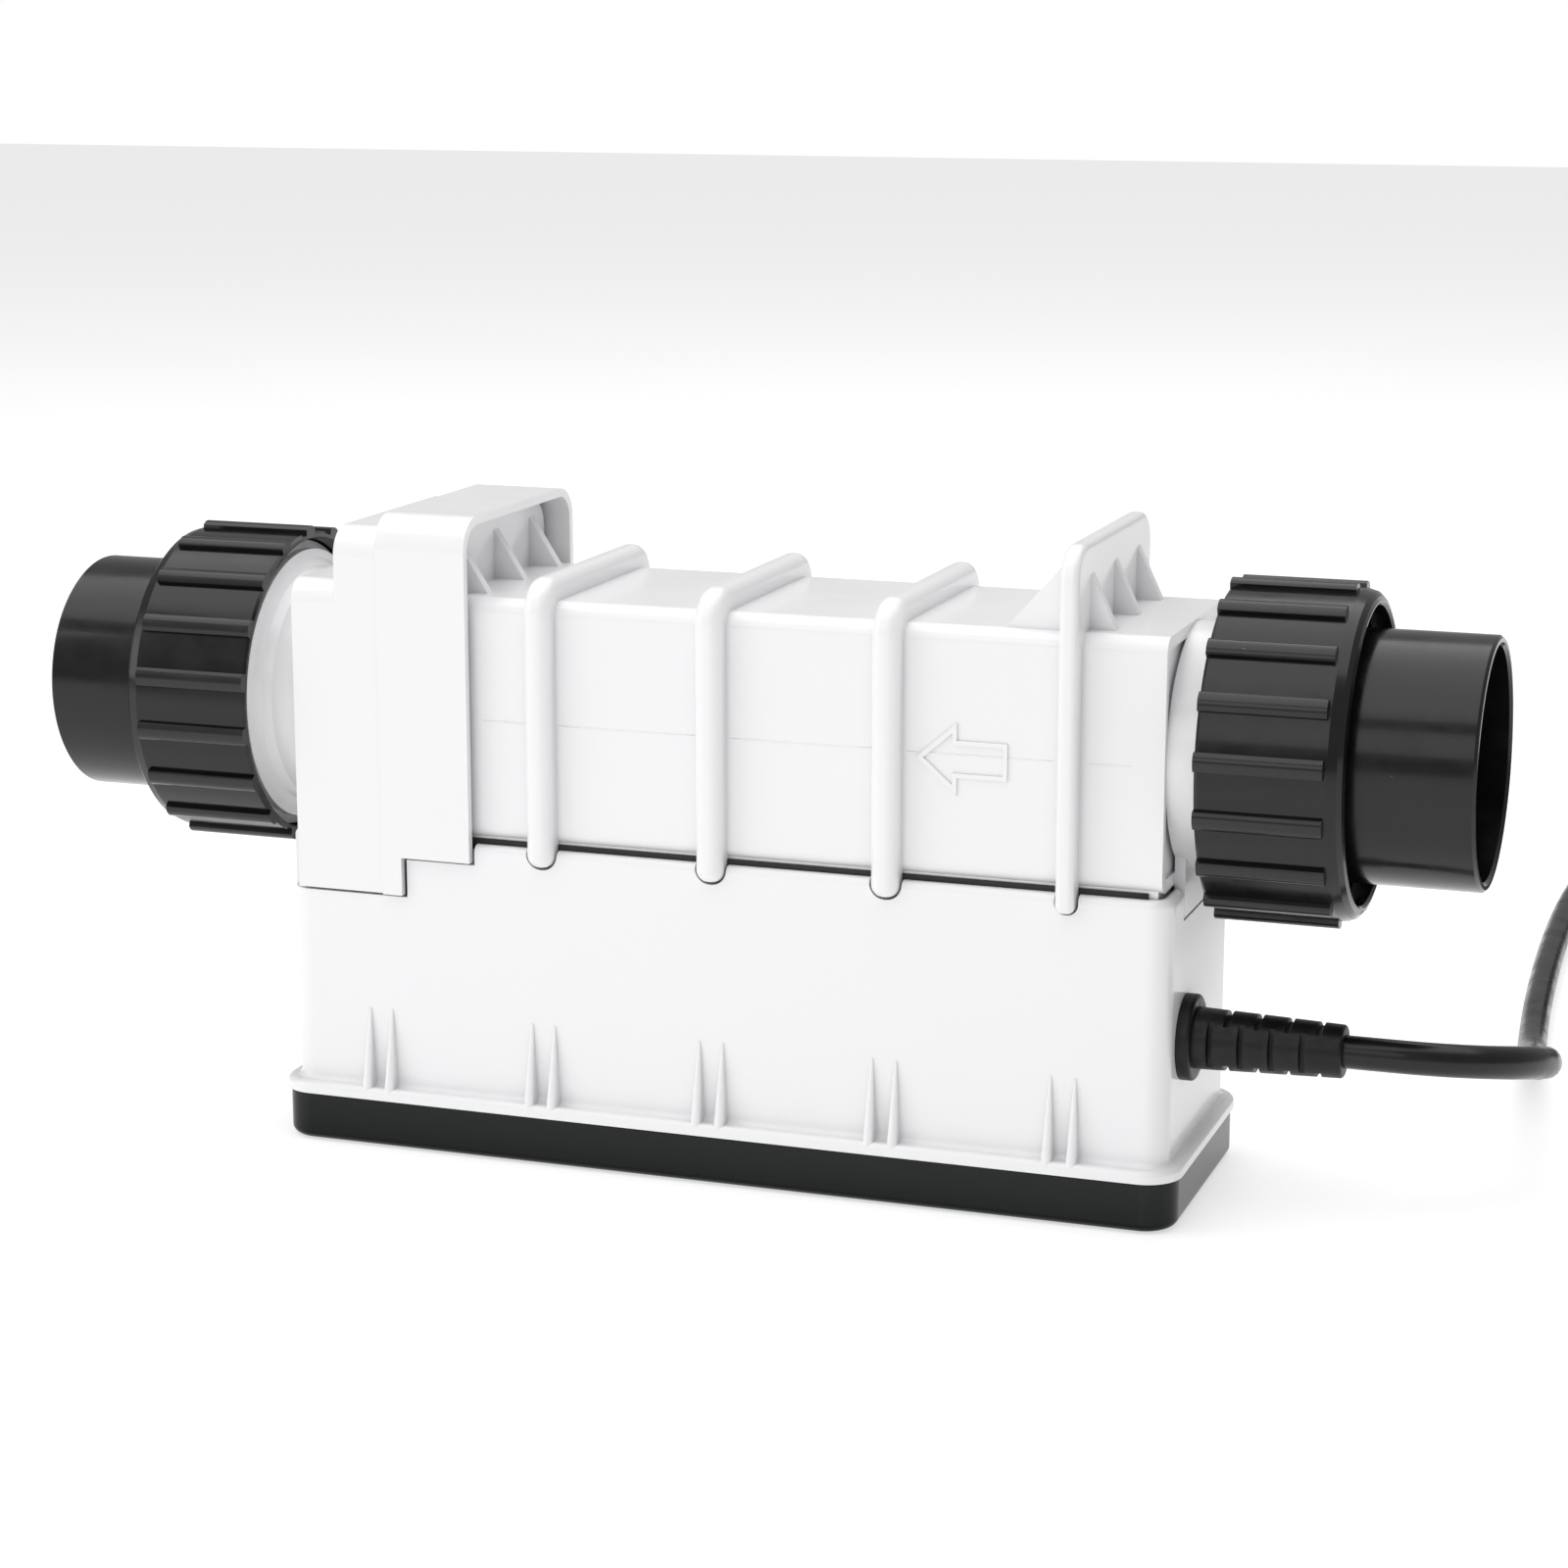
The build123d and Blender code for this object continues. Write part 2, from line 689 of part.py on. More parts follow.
# ================= flow switch =================
paddle_pin_at = Location((switch_x, 0, paddle_pin_z), (90, 0, 0))
with BuildPart() as flow_switch_body:
    with BuildSketch(Plane.XY.offset(79)):
        with Locations((switch_x, 0)):
            RegularPolygon(12, 6, major_radius=False)
    extrude(amount=6)
    with BuildSketch(Plane.XY.offset(85)):
        with Locations((switch_x, 0)):
            Circle(switch_r)
    extrude(amount=cell_floor + cell_wall - 85)
    # fork that carries the paddle pin
    for arm_y in (-6.4, 6.4):
        with Locations((switch_x, arm_y, paddle_pin_z - 2)):
            Box(7, 2, 15)
    with Locations(paddle_pin_at):
        Cylinder(paddle_pin_r + 0.05, 30, mode=Mode.SUBTRACT)
save(flow_switch_body, "flow_switch_body")

with BuildPart() as paddle_pin:
    with Locations(paddle_pin_at):
        Cylinder(paddle_pin_r, 15)
save(paddle_pin, "paddle_pin")

with BuildPart() as flow_paddle:
    with Locations(paddle_pin_at):
        Cylinder(3.2, 9)
    with Locations((switch_x, 0, paddle_pin_z + 10)):
        Box(2.4, 7, 18)
    with Locations((switch_x, 0, paddle_pin_z + 25)):
        Box(2, 22, 16)
    with Locations(paddle_pin_at):
        Cylinder(paddle_pin_r + 0.08, 20, mode=Mode.SUBTRACT)
save(flow_paddle, "flow_paddle")

# ================= electrodes =================
plate_pitch = 6.5
plate_bottom = 98
plate_height = 46
plate_thick = 1
anode_from = -56
anode_to = 92
cathode_from = -62
cathode_to = 86
plate_planes = [(i - 3) * plate_pitch for i in range(7)]

with BuildPart() as anode_plates:
    for plate_y in plate_planes[1::2]:
        with Locations(((anode_from + anode_to) / 2, plate_y, plate_bottom + plate_height / 2)):
            Box(anode_to - anode_from, plate_thick, plate_height)
save(anode_plates, "anode_plates")

with BuildPart() as cathode_plates:
    for plate_y in plate_planes[0::2]:
        with Locations(((cathode_from + cathode_to) / 2, plate_y, plate_bottom + plate_height / 2)):
            Box(cathode_to - cathode_from, plate_thick, plate_height)
save(cathode_plates, "cathode_plates")


def busbar(stud_x, bar_from, bar_to):
    """Bar across the ends of one polarity's plates, with the stud that leaves through the floor."""
    with BuildPart() as bar:
        with Locations(((bar_from + bar_to) / 2, 0, plate_bottom + 5)):
            Box(bar_to - bar_from, 2 * 3 * plate_pitch + 4, 8)
        with BuildSketch(Plane.XY.offset(70)):
            with Locations((stud_x, 0)):
                Circle(stud_r)
        extrude(amount=plate_bottom + 4 - 70)
    return bar


anode_busbar = busbar(anode_stud_x, anode_to, anode_to + 7)
save(anode_busbar, "anode_busbar")
cathode_busbar = busbar(cathode_stud_x, cathode_from - 7, cathode_from)
save(cathode_busbar, "cathode_busbar")

with BuildPart() as plate_combs:
    for comb_x in (-30, 15, 60):
        for low, high in ((cell_floor + cell_wall, plate_bottom + 3), (plate_bottom + plate_height - 3, cell_top - cell_wall)):
            with Locations((comb_x, 0, (low + high) / 2)):
                Box(6, 52, high - low)
            for plate_y in plate_planes:
                with Locations((comb_x, plate_y, plate_bottom + plate_height / 2)):
                    Box(8, plate_thick, plate_height, mode=Mode.SUBTRACT)
save(plate_combs, "plate_combs")

with BuildPart() as stud_seals:
    for stud_x in (cathode_stud_x, anode_stud_x):
        with BuildSketch(Plane.XY.offset(cell_floor)):
            with Locations((stud_x, 0)):
                Circle(stud_seal_r)
                Circle(stud_r, mode=Mode.SUBTRACT)
        extrude(amount=cell_wall)
save(stud_seals, "stud_seals")

with BuildPart() as stud_nuts:
    for stud_x in (cathode_stud_x, anode_stud_x):
        with BuildSketch(Plane.XY.offset(76)):
            with Locations((stud_x, 0)):
                RegularPolygon(5, 6, major_radius=False)
                Circle(stud_r, mode=Mode.SUBTRACT)
        extrude(amount=4)
save(stud_nuts, "stud_nuts")

with BuildPart() as temperature_probe:
    with BuildSketch(Plane.XY.offset(76)):
        with Locations((probe_x, probe_y)):
            Circle(probe_r)
    extrude(amount=32)
    fillet(faces().sort_by(Axis.Z)[-1].edges(), radius=2)
    with BuildSketch(Plane.XY.offset(74)):
        with Locations((probe_x, probe_y)):
            Circle(6)
    extrude(amount=6)
save(temperature_probe, "temperature_probe")

# ================= cable gland, cable and plug =================


def gland_plane(x):
    """A plane across the cable's axis at x."""
    return Plane(origin=(x, cord_y, cord_z), x_dir=(0, 1, 0), z_dir=(1, 0, 0))


with BuildPart() as cable_gland:
    with BuildSketch(gland_plane(box_end)):
        Circle(11.4)
    extrude(amount=3.6)
    fillet(faces().sort_by(Axis.X)[-1].edges(), radius=1)
    with BuildSketch(gland_plane(box_end - 11)):
        Circle(8.1)
    extrude(amount=11)
    with BuildSketch(gland_plane(box_end - 11)):
        Circle(4.6)
    extrude(amount=10, mode=Mode.SUBTRACT)
save(cable_gland, "cable_gland")

with BuildPart() as gland_nut:
    with BuildSketch(gland_plane(box_end - box_wall - 5)):
        RegularPolygon(10.5, 6, major_radius=False)
        Circle(8.2, mode=Mode.SUBTRACT)
    extrude(amount=5)
save(gland_nut, "gland_nut")

boot_start = box_end + 3.6
boot_root_r = 8.15
boot_tip_r = 6.95
with BuildPart() as strain_relief:
    with BuildSketch(gland_plane(boot_start)):
        Circle(boot_root_r)
    with BuildSketch(gland_plane(boot_end)):
        Circle(boot_tip_r)
    loft()
    fillet(faces().sort_by(Axis.X)[-1].edges(), radius=0.8)
    # slots between the bands, from the front and back on one ring and from above and below on the next
    for slot in range(8):
        slot_x = boot_start + 4.5 + 4 * slot
        across = slot % 2
        for sign in (-1, 1):
            centre = (
                slot_x,
                cord_y + (0 if across else sign * 7.2),
                cord_z + (sign * 7.2 if across else 0),
            )
            with Locations(centre):
                Box(1.6, 12 if across else 4.4, 4.4 if across else 12, mode=Mode.SUBTRACT)
save(strain_relief, "strain_relief")


def corner_radii(points):
    """Arc radius at each inner point: as large as 0.45 of its shorter run allows."""
    found = []
    for before, at, after in zip(points, points[1:], points[2:]):
        run_in = Vector(at) - Vector(before)
        run_out = Vector(after) - Vector(at)
        half_turn = math.radians(run_in.get_angle(run_out)) / 2
        found.append(0.45 * min(run_in.length, run_out.length) / math.tan(half_turn))
    return found


def cord_tube(points, name):
    """A round cable along straight runs joined by tangent arcs."""
    bends = corner_radii(points)
    with BuildPart() as tube:
        with BuildLine() as route:
            FilletPolyline(*points, radius=bends)
        path = route.wire()
        with BuildSketch(Plane(origin=path @ 0, z_dir=path % 0)):
            Circle(cord_r)
        sweep(path=path)
    section = math.pi * cord_r**2
    print(name, "bend radii", [round(bend, 1) for bend in bends])
    print(name, "length", round(path.length, 1), "volume ratio", round(tube.part.volume / section / path.length, 4))
    return tube


power_cord = cord_tube(cord_points, "power_cord")
save(power_cord, "power_cord")
power_cord_tail = cord_tube(tail_points, "power_cord_tail")
save(power_cord_tail, "power_cord_tail")

coil_pitch = 2 * cord_r + 0.15
coil_turns = coil_layers * coil_layer_turns + (coil_layers - 1) * coil_step_turns
coil_bundle_width = coil_layer_turns * coil_pitch + 2 * cord_r
coil_bundle_height = coil_layers * coil_pitch
coil_middle_z = coil_floor + coil_bundle_height / 2
print("cable in the coil", round(coil_turns * 2 * math.pi * coil_mean_r, 0))

coil_section_plane = Plane(origin=(coil_x, coil_y, 0), x_dir=(1, 0, 0), z_dir=(0, -1, 0))
with BuildPart() as power_cord_coil:
    with BuildSketch(coil_section_plane):
        with Locations((coil_mean_r, coil_middle_z)):
            RectangleRounded(coil_bundle_width, coil_bundle_height, 4)
    revolve(axis=Axis((coil_x, coil_y, 0), (0, 0, 1)))
save(power_cord_coil, "power_cord_coil")

tie_turn = math.radians(205)
tie_out = Vector(math.cos(tie_turn), math.sin(tie_turn), 0)
tie_plane = Plane(
    origin=Vector(coil_x, coil_y, coil_middle_z) + tie_out * coil_mean_r,
    x_dir=tie_out,
    z_dir=tie_out.cross(Vector(0, 0, 1)),
)
with BuildPart() as cord_tie:
    with BuildSketch(tie_plane):
        RectangleRounded(coil_bundle_width + 2.4, coil_bundle_height + 2, 4.6)
        RectangleRounded(coil_bundle_width + 0.7, coil_bundle_height + 0.3, 3.8, mode=Mode.SUBTRACT)
    extrude(amount=4, both=True)
save(cord_tie, "cord_tie")

plug_at = Vector(tail_points[-1])
plug_dir = (plug_at - Vector(tail_points[-2])).normalized()


def plug_plane(along):
    """A plane across the plug at a distance from its cable end."""
    return Plane(origin=plug_at + plug_dir * along, x_dir=(0, 0, 1), z_dir=plug_dir)


with BuildPart() as cord_plug:
    with BuildSketch(plug_plane(0)):
        Circle(6)
    with BuildSketch(plug_plane(12)):
        Circle(7.6)
    loft()
    with BuildSketch(plug_plane(12)):
        Circle(10)
    extrude(amount=28)
    with BuildSketch(plug_plane(26)):
        Circle(10.4)
    extrude(amount=4)
    with BuildSketch(plug_plane(30)):
        Circle(8)
    extrude(amount=12, mode=Mode.SUBTRACT)
save(cord_plug, "cord_plug")

with BuildPart() as plug_pins:
    with BuildSketch(plug_plane(30)):
        with PolarLocations(4.4, 5):
            Circle(0.9)
    extrude(amount=8)
save(plug_pins, "plug_pins")
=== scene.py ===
"""Looks for an inline salt chlorinator cell: white tube on a control box, black unions and cable."""

import json
import math

import bmesh
import bpy
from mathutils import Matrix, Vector


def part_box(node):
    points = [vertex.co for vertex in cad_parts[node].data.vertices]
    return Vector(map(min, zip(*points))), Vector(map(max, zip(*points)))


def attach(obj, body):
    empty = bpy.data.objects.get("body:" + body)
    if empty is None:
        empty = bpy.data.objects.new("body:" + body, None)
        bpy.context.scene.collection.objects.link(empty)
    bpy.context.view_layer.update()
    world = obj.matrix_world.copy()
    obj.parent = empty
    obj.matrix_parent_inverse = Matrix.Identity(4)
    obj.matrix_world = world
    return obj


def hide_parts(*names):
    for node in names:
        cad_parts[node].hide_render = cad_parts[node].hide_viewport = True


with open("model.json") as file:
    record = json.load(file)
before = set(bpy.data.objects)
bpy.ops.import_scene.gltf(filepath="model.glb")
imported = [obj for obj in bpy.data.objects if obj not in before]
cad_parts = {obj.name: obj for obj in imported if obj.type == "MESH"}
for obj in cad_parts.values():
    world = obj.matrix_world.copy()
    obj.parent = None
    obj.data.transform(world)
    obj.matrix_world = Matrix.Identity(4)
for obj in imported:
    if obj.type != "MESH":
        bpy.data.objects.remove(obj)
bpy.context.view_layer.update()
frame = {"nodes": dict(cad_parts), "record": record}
nodes = frame["nodes"]
mm = 0.001


# ------------------------------------------------------------------ camera

camera_data = bpy.data.cameras.new("camera")
camera_data.lens = 81.4
camera_data.sensor_width = 36
camera_data.clip_start = 0.05
camera_data.clip_end = 20
camera = bpy.data.objects.new("camera", camera_data)
camera_target = Vector((0.0081, 0, 0.10255))
camera_azimuth = math.radians(19.31)
camera_elevation = math.radians(12.5)
camera_distance = 0.96576
camera_back = Vector((
    math.sin(camera_azimuth) * math.cos(camera_elevation),
    -math.cos(camera_azimuth) * math.cos(camera_elevation),
    math.sin(camera_elevation),
))
camera.location = camera_target + camera_back * camera_distance
camera.rotation_mode = "QUATERNION"
camera.rotation_quaternion = (-camera_back).to_track_quat("-Z", "Y")
bpy.context.collection.objects.link(camera)
bpy.context.scene.camera = camera


# ------------------------------------------------------------------ cable

# The route, the coil and the tail are in millimetres, and meet end to end on one curve.
cord_diameter = 8.7 * mm
cord_route = [
    (166.7, -16, 47),
    (178, -16, 47),
    (188.8, -13, 46.2),
    (198.3, -6.9, 44.8),
    (205.8, 1.5, 42.9),
    (210.8, 11.7, 40.5),
    (212.8, 22.8, 37.6),
    (211.6, 34.1, 34.2),
    (208, 56, 27.3),
    (204, 80, 19.6),
    (200, 104, 12.2),
    (196.3, 128, 7),
    (193.3, 154, 4.6),
    (190, 187, 4.4),
    (186.8, 230, 4.4),
    (184.3, 275, 4.4),
    (183, 320, 4.4),
    (183.5, 360, 4.4),
    (193.9, 381.7, 4.8),
    (208.7, 398.3, 5.2),
    (224.6, 408.6, 5.4),
]
cord_tail = [
    (320, 406.7, 33.2),
    (328.5, 389.5, 37.5),
    (330.5, 370.5, 43.5),
    (327, 353.7, 48),
    (322, 338.8, 48),
]
coil_centre = (275, 360)
coil_mean_r = 52
coil_start = math.radians(120)
coil_layers = 4
coil_layer_turns = 2.9125
coil_step_turns = 0.17
coil_pitch = 8.85
coil_bottom = 5.4
points_per_turn = 16


def coil_point(turn):
    """Where the cable is after that many turns of the coil, in millimetres."""
    layer_length = coil_layer_turns + coil_step_turns
    layer = min(int(turn / layer_length), coil_layers - 1)
    done = turn - layer * layer_length
    sweep = min(done / coil_layer_turns, 1)
    climb = max(0, (done - coil_layer_turns) / coil_step_turns)
    half_span = coil_layer_turns * coil_pitch / 2
    side = 1 if layer % 2 == 0 else -1
    radius = coil_mean_r + side * half_span * (1 - 2 * sweep)
    radius /= math.cos(math.pi / points_per_turn)
    angle = coil_start - turn * 2 * math.pi
    height = coil_bottom + coil_pitch * (layer + climb * climb * (3 - 2 * climb))
    return (
        coil_centre[0] + radius * math.cos(angle),
        coil_centre[1] + radius * math.sin(angle),
        height,
    )


coil_turns = coil_layers * coil_layer_turns + (coil_layers - 1) * coil_step_turns
coil_steps = round(coil_turns * points_per_turn)
coil_points = [coil_point(i * coil_turns / coil_steps) for i in range(coil_steps + 1)]
all_points = cord_route + coil_points + cord_tail

cord_curve = bpy.data.curves.new("power_cable", "CURVE")
cord_curve.dimensions = "3D"
cord_curve.bevel_depth = 1  # times each point's radius, so that the curve's own box is the tube's
cord_curve.bevel_resolution = 6
cord_curve.resolution_u = 6
cord_curve.use_fill_caps = True
spline = cord_curve.splines.new("NURBS")
spline.points.add(len(all_points) - 1)
for control, place in zip(spline.points, all_points):
    control.co = (place[0] * mm, place[1] * mm, place[2] * mm, 1)
    control.radius = cord_diameter / 2
spline.order_u = 3
spline.use_endpoint_u = True
cable = bpy.data.objects.new("power_cable", cord_curve)
bpy.context.collection.objects.link(cable)
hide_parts("power_cord", "power_cord_coil", "power_cord_tail")
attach(cable, "cell")


# ------------------------------------------------------------------ materials

class Finish:
    """One procedural material, with its shader and helpers that add detail to it."""

    def __init__(self, name, colour, roughness, **fixed):
        self.material = bpy.data.materials.new(name)
        self.material.use_nodes = True
        self.tree = self.material.node_tree
        self.shader = self.tree.nodes["Principled BSDF"]
        self.colour = (*colour, 1)
        self.shader.inputs["Base Color"].default_value = self.colour
        self.shader.inputs["Roughness"].default_value = roughness
        for socket, value in fixed.items():
            self.shader.inputs[socket.replace("_", " ")].default_value = value
        self.place = self.node("ShaderNodeTexCoord").outputs["Object"]
        self.normal = None

    def node(self, kind, **fixed):
        made = self.tree.nodes.new(kind)
        for field, value in fixed.items():
            setattr(made, field, value)
        return made

    def join(self, source, target):
        self.tree.links.new(source, target)

    def stretched(self, scale):
        """The object's own coordinates, stretched to that scale along each axis."""
        mapping = self.node("ShaderNodeMapping")
        mapping.inputs["Scale"].default_value = scale
        self.join(self.place, mapping.inputs["Vector"])
        return mapping.outputs["Vector"]

    def noise(self, scale, detail=3, rough=0.5, stretch=None):
        made = self.node("ShaderNodeTexNoise")
        made.inputs["Scale"].default_value = scale
        made.inputs["Detail"].default_value = detail
        made.inputs["Roughness"].default_value = rough
        self.join(self.stretched(stretch) if stretch else self.place, made.inputs["Vector"])
        return made.outputs["Fac"]

    def ranged(self, value, low, high, to_low, to_high):
        """Maps a value from low..high to to_low..to_high, held at both ends."""
        made = self.node("ShaderNodeMapRange", clamp=True)
        sockets = ("From Min", "From Max", "To Min", "To Max")
        for socket, number in zip(sockets, (low, high, to_low, to_high)):
            made.inputs[socket].default_value = number
        self.join(value, made.inputs["Value"])
        return made.outputs["Result"]

    def maths(self, operation, first, second):
        made = self.node("ShaderNodeMath", operation=operation)
        for socket, value in zip(made.inputs, (first, second)):
            if isinstance(value, (int, float)):
                socket.default_value = value
            else:
                self.join(value, socket)
        return made.outputs["Value"]

    def tint(self, mask, colour):
        """Blends the base colour towards another one where the mask is white."""
        mix = self.node("ShaderNodeMix", data_type="RGBA")
        base = self.shader.inputs["Base Color"]
        if base.is_linked:
            self.join(base.links[0].from_socket, mix.inputs["A"])
        else:
            mix.inputs["A"].default_value = self.colour
        mix.inputs["B"].default_value = (*colour, 1)
        self.join(mask, mix.inputs["Factor"])
        self.join(mix.outputs["Result"], base)

    def gloss(self, value, low, high, smooth, rough):
        """Roughness that follows a texture value."""
        self.join(self.ranged(value, low, high, smooth, rough), self.shader.inputs["Roughness"])

    def bump(self, value, depth, strength=1.0):
        """Adds surface relief of that depth in metres."""
        made = self.node("ShaderNodeBump")
        made.inputs["Distance"].default_value = depth
        made.inputs["Strength"].default_value = strength
        self.join(value, made.inputs["Height"])
        if self.normal:
            self.join(self.normal, made.inputs["Normal"])
        self.normal = made.outputs["Normal"]
        self.join(self.normal, self.shader.inputs["Normal"])

    def specks(self, scale, size, colour, share):
        """Small dust specks: dots of one colour in that share of the cells."""
        cells = self.node("ShaderNodeTexVoronoi")
        cells.inputs["Scale"].default_value = scale
        self.join(self.place, cells.inputs["Vector"])
        dot = self.maths("LESS_THAN", cells.outputs["Distance"], size)
        split = self.node("ShaderNodeSeparateColor")
        self.join(cells.outputs["Color"], split.inputs["Color"])
        chosen = self.maths("LESS_THAN", split.outputs["Red"], share)
        self.tint(self.maths("MULTIPLY", dot, chosen), colour)

    def paint_edge_highlight(self, low, high, amount, colour):
        """Tints sharp edges towards a lighter colour: a painted highlight along them."""
        shape = self.node("ShaderNodeNewGeometry").outputs["Pointiness"]
        self.tint(self.ranged(shape, low, high, 0, amount), colour)

    def paint_crease_shade(self, reach, amount, colour):
        """Paints shade into inside corners and gaps, darker where ambient occlusion finds them hemmed
        in.
        """
        made = self.node("ShaderNodeAmbientOcclusion", samples=6)
        made.inputs["Distance"].default_value = reach
        self.tint(self.ranged(made.outputs["AO"], 0.25, 0.8, amount, 0), colour)


def white_shell():
    """Glossy moulded ABS with a fine skin, faint flow marks, painted shade in the creases and a few
    specks.
    """
    made = Finish("white_abs", (0.84, 0.842, 0.85), 0.24, Coat_Weight=0.25, Coat_Roughness=0.08)
    made.tint(made.ranged(made.noise(7, 2), 0.2, 0.8, 0, 0.5), (0.825, 0.825, 0.845))
    made.tint(made.ranged(made.noise(16, 3, 0.5, (1, 1, 0.3)), 0.3, 0.8, 0, 0.3), (0.86, 0.852, 0.845))
    # painted shade: crevices and seams darkened towards grey
    made.paint_crease_shade(0.007, 0.45, (0.46, 0.465, 0.48))
    made.specks(230, 0.022, (0.3, 0.29, 0.27), 0.012)
    made.gloss(made.noise(40, 3), 0.25, 0.75, 0.2, 0.27)
    made.bump(made.noise(22, 1), 0.00012, 0.3)
    made.bump(made.noise(1500, 2), 0.000008, 0.4)
    return made.material


def black_union():
    """Glossy black PVC with mould flow streaks, a painted highlight on sharp edges, a fine bumpy skin
    and a little dust.
    """
    made = Finish(
        "black_pvc", (0.0045, 0.0045, 0.0049), 0.2,
        Specular_IOR_Level=0.34, Coat_Weight=0.1, Coat_Roughness=0.05,
    )
    streaks = made.noise(45, 5, 0.6, (0.12, 1, 1))
    made.tint(made.ranged(streaks, 0.5, 0.75, 0, 0.5), (0.009, 0.0088, 0.0086))
    # painted highlight: sharp edges lightened
    made.paint_edge_highlight(0.54, 0.64, 0.5, (0.03, 0.03, 0.031))
    made.specks(420, 0.05, (0.28, 0.27, 0.25), 0.018)
    made.specks(150, 0.024, (0.2, 0.19, 0.18), 0.02)
    made.gloss(made.noise(90, 5, 0.65), 0.3, 0.7, 0.13, 0.27)
    made.bump(made.noise(60, 3, 0.5, (0.2, 1, 1)), 0.00012, 0.5)
    made.bump(made.noise(2200, 2), 0.000012, 0.5)
    return made.material


def smoked_cover():
    """Smoked green-black polycarbonate, with printed rings round the keys on its underside."""
    key_x = 34 * mm
    ring_radius = 8.6 * mm
    ring_half_width = 0.35 * mm
    print_height = 0.3 * mm
    made = Finish(
        "smoked_polycarbonate", (0.0015, 0.0028, 0.002), 0.08,
        Specular_IOR_Level=0.14, Coat_Weight=0.05, Coat_Roughness=0.03,
    )
    made.tint(made.ranged(made.noise(14, 3), 0.4, 0.7, 0, 0.6), (0.0018, 0.005, 0.0032))
    split = made.node("ShaderNodeSeparateXYZ")
    made.join(made.place, split.inputs["Vector"])
    from_key = made.maths("SUBTRACT", made.maths("ABSOLUTE", split.outputs["X"], 0), key_x)
    span = made.node("ShaderNodeCombineXYZ")
    made.join(from_key, span.inputs["X"])
    made.join(split.outputs["Y"], span.inputs["Y"])
    length = made.node("ShaderNodeVectorMath", operation="LENGTH")
    made.join(span.outputs["Vector"], length.inputs[0])
    ring = made.maths("COMPARE", length.outputs["Value"], ring_radius)
    ring.node.inputs[2].default_value = ring_half_width
    underneath = made.maths("LESS_THAN", split.outputs["Z"], print_height)
    made.tint(made.maths("MULTIPLY", ring, underneath), (0.75, 0.76, 0.76))
    # painted highlight: sharp edges lightened
    made.paint_edge_highlight(0.52, 0.6, 0.5, (0.03, 0.036, 0.033))
    made.specks(380, 0.04, (0.2, 0.2, 0.19), 0.015)
    made.gloss(made.noise(40, 4), 0.3, 0.7, 0.05, 0.12)
    made.bump(made.noise(18, 2), 0.0002, 0.35)
    return made.material


def grained(name, colour, light, smooth, rough, grain, depth):
    """A satin moulded plastic or rubber with a fine grain and a painted highlight on its sharp edges.
    """
    made = Finish(name, colour, rough, Specular_IOR_Level=0.3)
    made.tint(made.ranged(made.noise(35, 4), 0.4, 0.7, 0, 0.6), light)
    # painted highlight: sharp edges lightened
    made.paint_edge_highlight(0.53, 0.62, 0.5, tuple(2.2 * c + 0.01 for c in light))
    made.gloss(made.noise(grain / 4, 4), 0.3, 0.7, smooth, rough)
    made.bump(made.noise(grain, 3), depth, 0.6)
    return made.material


def cable_jacket():
    """Smooth PVC cable jacket with the faint ridges of the strands under it."""
    made = Finish(
        "pvc_jacket", (0.004, 0.004, 0.0043), 0.24,
        Specular_IOR_Level=0.36, Coat_Weight=0.06, Coat_Roughness=0.12,
    )
    made.tint(made.ranged(made.noise(55, 4), 0.45, 0.75, 0, 0.6), (0.009, 0.0088, 0.0085))
    made.specks(500, 0.06, (0.16, 0.155, 0.15), 0.02)
    made.gloss(made.noise(120, 4), 0.3, 0.7, 0.2, 0.36)
    made.bump(made.noise(240, 3), 0.00006, 0.6)
    return made.material


def brushed(name, colour, smooth, rough, stretch, stain):
    """Bare metal with fine brushing along one direction."""
    made = Finish(name, colour, rough, Metallic=1.0)
    lines = made.noise(900, 4, 0.6, stretch)
    made.tint(made.ranged(made.noise(30, 4), 0.45, 0.75, 0, 0.5), stain)
    made.gloss(lines, 0.3, 0.7, smooth, rough)
    made.bump(lines, 0.00002, 0.6)
    return made.material


def coated_titanium():
    """Titanium plate with a dark oxide coating, rough and a little uneven."""
    made = Finish("oxide_coating", (0.045, 0.044, 0.047), 0.6, Metallic=0.35)
    made.tint(made.ranged(made.noise(70, 5), 0.4, 0.7, 0, 0.7), (0.085, 0.08, 0.075))
    made.gloss(made.noise(200, 4), 0.3, 0.7, 0.5, 0.72)
    made.bump(made.noise(1500, 3), 0.00004, 0.8)
    return made.material


def board_green():
    """Green solder mask with copper tracks under it and pale pads."""
    made = Finish("solder_mask", (0.01, 0.11, 0.04), 0.3, Coat_Weight=0.3, Coat_Roughness=0.12)
    tracks = made.node("ShaderNodeTexBrick", offset=0.5)
    tracks.inputs["Scale"].default_value = 260
    tracks.inputs["Mortar Size"].default_value = 0.06
    tracks.inputs["Color1"].default_value = (0, 0, 0, 1)
    tracks.inputs["Color2"].default_value = (0, 0, 0, 1)
    tracks.inputs["Mortar"].default_value = (1, 1, 1, 1)
    made.join(made.place, tracks.inputs["Vector"])
    made.tint(made.maths("MULTIPLY", tracks.outputs["Color"], made.noise(40, 2)), (0.04, 0.24, 0.08))
    made.specks(300, 0.18, (0.6, 0.58, 0.5), 0.12)
    made.gloss(made.noise(80, 3), 0.3, 0.7, 0.25, 0.4)
    made.bump(tracks.outputs["Color"], 0.00003, 0.5)
    return made.material


